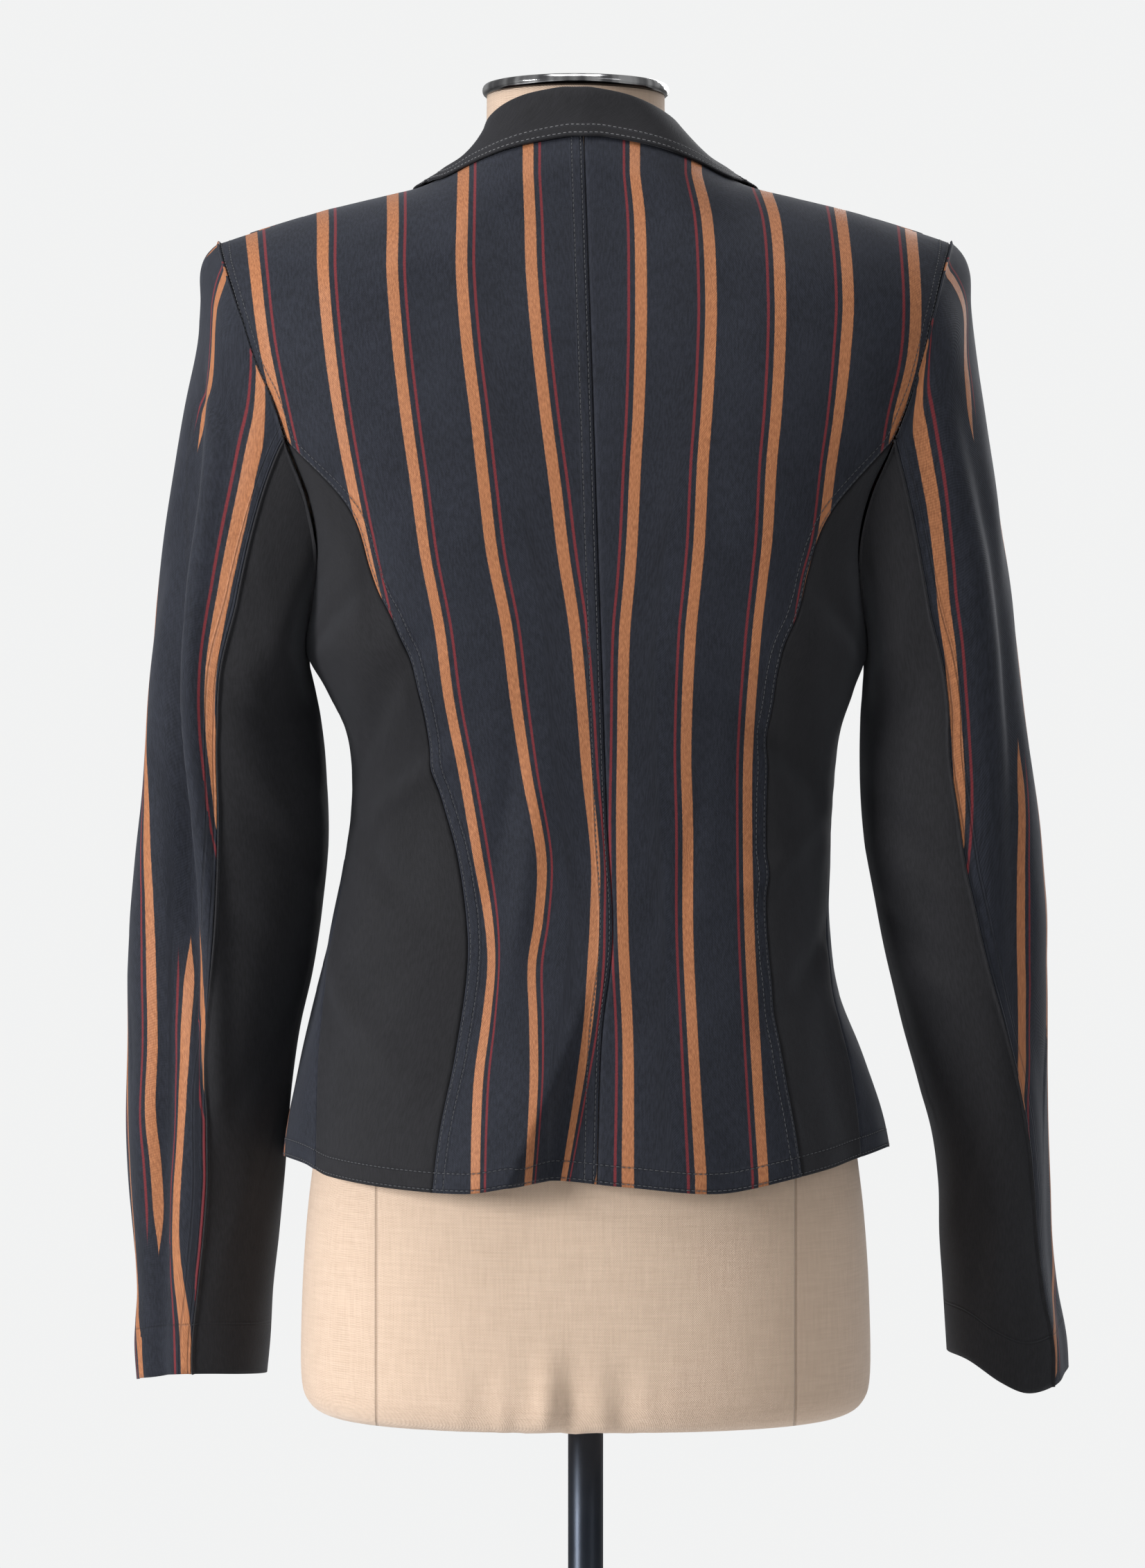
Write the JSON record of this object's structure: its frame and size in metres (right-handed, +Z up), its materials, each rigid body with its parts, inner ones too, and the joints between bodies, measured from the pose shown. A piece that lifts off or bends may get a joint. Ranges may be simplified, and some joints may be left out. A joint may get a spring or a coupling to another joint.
{
  "type": "blazer on a dress form",
  "caption": "Short fitted blazer with striped panels, plain sides and collar, standing on a limbless linen dress form with a pole and a round base.",
  "frame": {"origin": "on the floor under the middle of the whole object, where the round base rests", "axes": "+Z up, +Y towards the wearer's front, +X towards the wearer's right; the middle of the back faces -Y"},
  "size_m": [0.5343, 0.33, 1.4937],
  "materials": {
    "striped_twill": "woven twill, dark navy with copper and red stripes",
    "plain_twill": "plain black twill",
    "button_plastic": "dark horn-like plastic",
    "form_linen": "natural linen stretched over the form",
    "neck_chrome": "polished",
    "stand_paint": "dark satin paint"
  },
  "bodies": {
    "root": {"back_left": "striped_twill", "back_right": "striped_twill", "side_left": "plain_twill", "side_right": "plain_twill", "front_left": "striped_twill", "front_right": "striped_twill", "top_sleeve_left": "striped_twill", "top_sleeve_right": "striped_twill", "under_sleeve_left": "plain_twill", "under_sleeve_right": "plain_twill", "collar": "plain_twill", "lapel_left": "striped_twill", "lapel_right": "striped_twill", "button_1": "button_plastic", "button_2": "button_plastic", "form_torso": "form_linen", "neck_cap": "neck_chrome", "neck_rim": "neck_chrome", "pole": "stand_paint", "pole_socket": "stand_paint", "base_plate": "stand_paint"}
  },
  "joints": []
}
